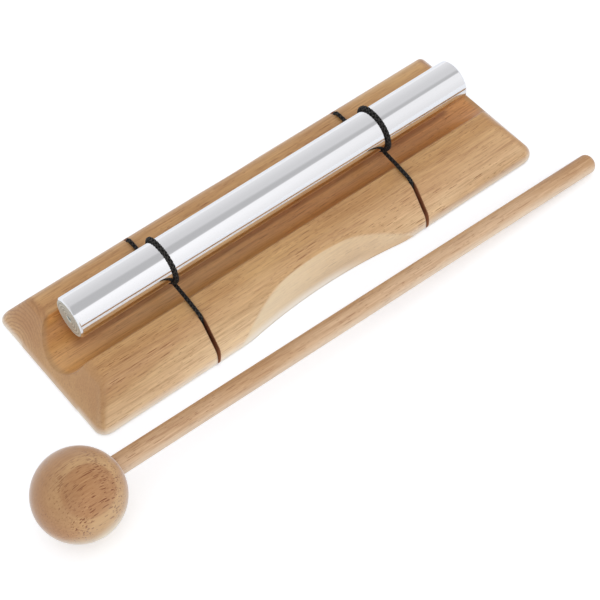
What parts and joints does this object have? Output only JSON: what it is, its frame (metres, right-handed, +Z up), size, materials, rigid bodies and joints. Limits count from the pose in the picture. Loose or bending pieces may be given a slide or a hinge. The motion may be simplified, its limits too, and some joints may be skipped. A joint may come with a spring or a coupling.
{
  "type": "chime bar",
  "caption": "Round aluminium bar slung on black cords over a coved channel in a bevelled wooden block, with a wooden ball mallet lying in front.",
  "frame": {"origin": "the middle of the base's underside, on the surface that it stands on", "axes": "+X along the bar, +Y away from the mallet, +Z up"},
  "size_m": [0.2933, 0.1245, 0.0408],
  "materials": {
    "base_wood": "satin, lightly oiled",
    "aluminium": "polished",
    "cord": "braided, matte",
    "mallet_wood": "sanded, bare"
  },
  "bodies": {
    "base": {"base": "base_wood", "left_cord_tie": "cord", "right_cord_tie": "cord"},
    "slings": {"left_cord_sling": "cord", "right_cord_sling": "cord"},
    "bar": {"bar": "aluminium"},
    "mallet": {"mallet_ball": "mallet_wood", "mallet_stick": "mallet_wood"}
  },
  "joints": [
    {"name": "bar_bounce", "type": "slide", "parent": "base", "child": "slings", "axis": [0, 0, 1], "range_m": [-0.003, 0.0015], "stiffness_N_per_m": 1300, "springref_m": 0.00119, "deforming": ["left_cord_sling", "right_cord_sling"]},
    {"name": "bar_spin", "type": "hinge", "parent": "slings", "child": "bar", "pos_m": [0, 0, 0.0291], "axis": [1, 0, 0], "continuous": true},
    {"name": "mallet_lift", "type": "slide", "parent": "base", "child": "mallet", "axis": [0, 0, 1], "range_m": [0, 0.12]}
  ]
}
